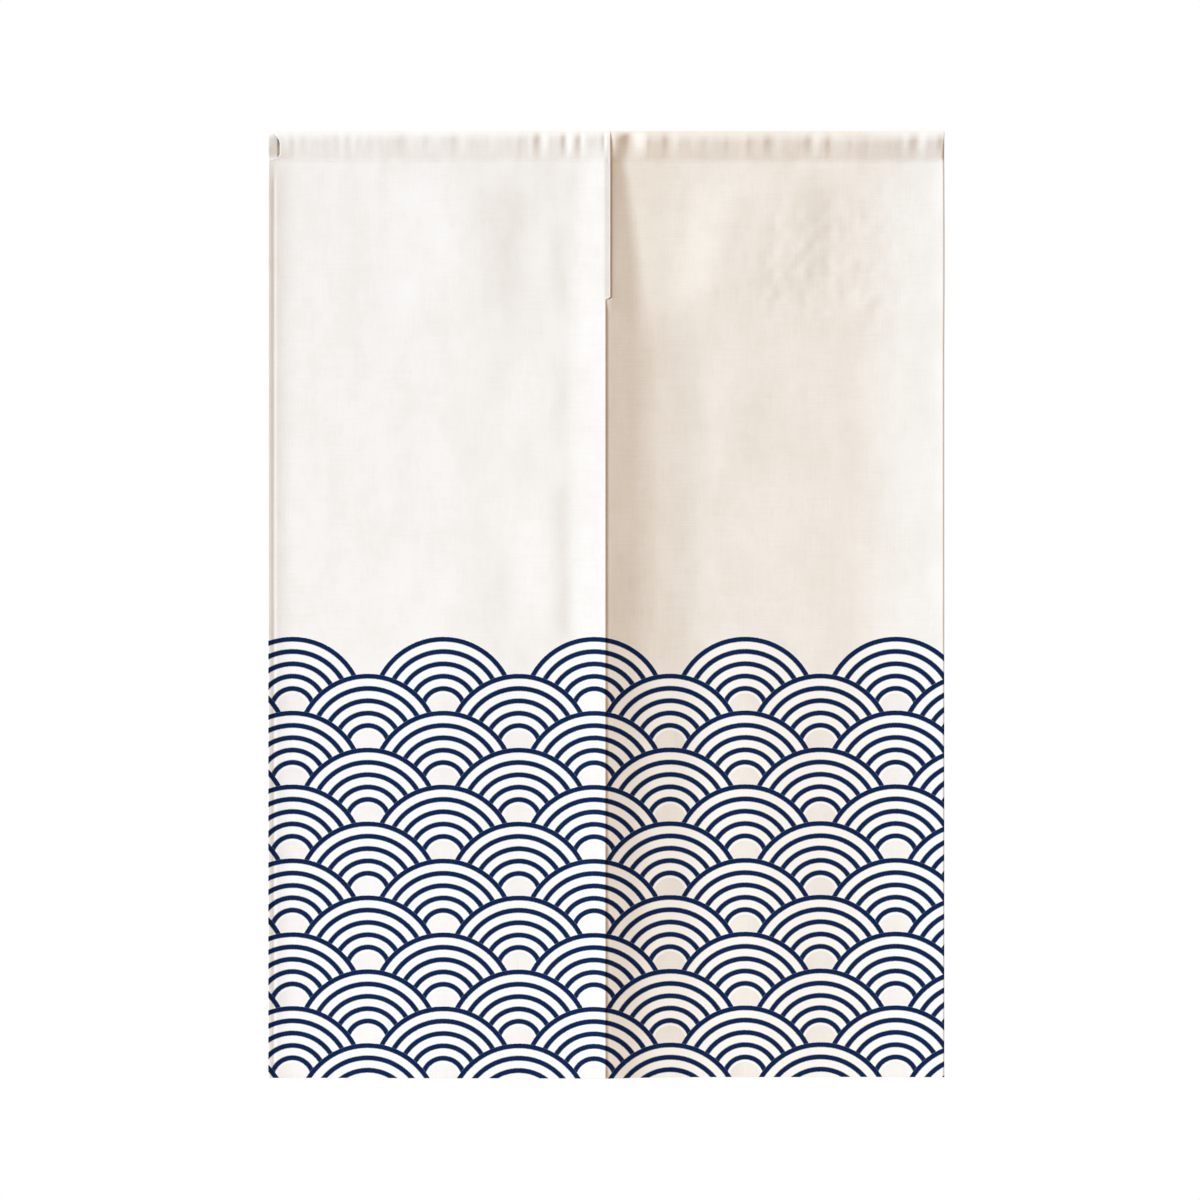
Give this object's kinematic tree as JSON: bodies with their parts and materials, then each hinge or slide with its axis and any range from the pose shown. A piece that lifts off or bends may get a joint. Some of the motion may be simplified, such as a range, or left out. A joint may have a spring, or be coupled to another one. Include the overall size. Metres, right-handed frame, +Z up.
{
  "type": "noren curtain",
  "caption": "Split doorway curtain of natural cloth with a rod pocket along the top, a slit up the middle and a printed wave pattern over the lower half.",
  "frame": {"origin": "middle of the curtain's top edge, in the middle of the rod pocket's depth", "axes": "+Z up along the curtain's length, +X to the right as seen from the front, -Y out of the printed front"},
  "size_m": [0.8507, 0.0276, 1.19],
  "materials": {
    "printed_cloth": "natural cotton and linen plain weave, matt, with navy overlapping waves printed on its lower part",
    "plain_cloth": "the same natural cotton and linen plain weave, unprinted, matt",
    "sewing_thread": "natural cotton sewing thread, matt"
  },
  "bodies": {
    "root": {"panel_left": "printed_cloth", "panel_right": "printed_cloth", "rod_pocket_left": "plain_cloth", "rod_pocket_right": "plain_cloth"}
  },
  "joints": []
}
